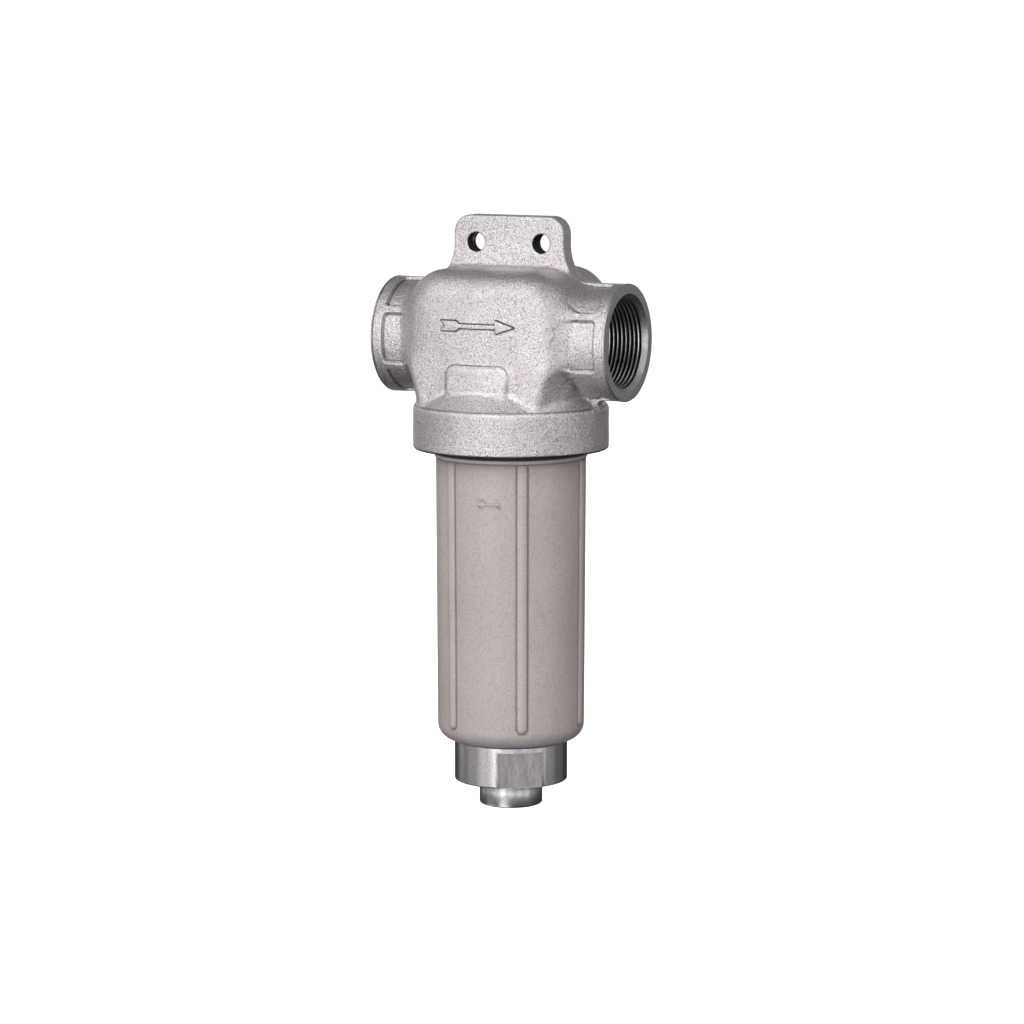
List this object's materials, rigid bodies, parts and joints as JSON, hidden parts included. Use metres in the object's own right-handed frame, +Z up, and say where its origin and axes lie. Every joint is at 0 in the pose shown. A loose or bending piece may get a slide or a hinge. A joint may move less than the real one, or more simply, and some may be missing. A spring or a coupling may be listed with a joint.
{
  "type": "pressure filter",
  "caption": "In-line pressure filter: cast T-head with threaded side ports and a mounting lug, screw-in moulded bowl, inner screen, and a bottom drain cap with plug.",
  "frame": {"origin": "centre of the lug's back face, midway between its two holes", "axes": "+X along the ports in the direction of flow, +Y out of the back of the lug, +Z up along the bowl axis"},
  "size_m": [0.1316, 0.101, 0.3053],
  "materials": {
    "cast_aluminium": "shot-blasted casting, fine sparkling grain, machined port threads",
    "moulded_polymer": "matte glass-filled moulding, warm grey",
    "turned_steel": "turned, fine machining lines",
    "plug_steel": "plain machined",
    "steel_mesh": "fine woven wire",
    "cage_polymer": "matte moulding",
    "black_rubber": "matte"
  },
  "bodies": {
    "head": {"head": "cast_aluminium", "bowl_gasket": "black_rubber"},
    "element": {"screen_top_gasket": "black_rubber", "screen_top_ring": "turned_steel", "screen_cage": "cage_polymer", "screen_mesh": "steel_mesh", "screen_seam_strip": "turned_steel", "screen_bottom_cap": "turned_steel", "screen_foot_pad": "black_rubber"},
    "bowl": {"bowl": "moulded_polymer"},
    "cap_seal": {"drain_cap_gasket": "black_rubber"},
    "cap": {"drain_cap": "turned_steel"},
    "plug_seal": {"drain_plug_washer": "black_rubber"},
    "plug": {"drain_plug": "plug_steel"}
  },
  "joints": [
    {"name": "screen_drop", "type": "slide", "parent": "head", "child": "element", "axis": [0, 0, -1], "range_m": [0, 0.018]},
    {"name": "bowl_turn", "type": "hinge", "parent": "element", "child": "bowl", "pos_m": [0, -0.0067, -0.0959], "axis": [0, 0, -1], "range_deg": [0, 1080]},
    {"name": "cap_gasket_drop", "type": "slide", "parent": "bowl", "child": "cap_seal", "axis": [0, 0, -1], "range_m": [0, 0.0127]},
    {"name": "cap_turn", "type": "hinge", "parent": "cap_seal", "child": "cap", "pos_m": [0, -0.0067, -0.2639], "axis": [0, 0, -1], "range_deg": [0, 1980]},
    {"name": "plug_washer_drop", "type": "slide", "parent": "cap", "child": "plug_seal", "axis": [0, 0, -1], "range_m": [0, 0.01044]},
    {"name": "plug_turn", "type": "hinge", "parent": "plug_seal", "child": "plug", "pos_m": [0, -0.0067, -0.2859], "axis": [0, 0, -1], "range_deg": [0, 2070]}
  ],
  "couplings": [
    {"joint": "screen_drop", "follows": "bowl_turn", "m_per_rad": 0.00095493},
    {"joint": "cap_gasket_drop", "follows": "cap_turn", "m_per_rad": 0.00036749},
    {"joint": "plug_washer_drop", "follows": "plug_turn", "m_per_rad": 0.00028871}
  ]
}
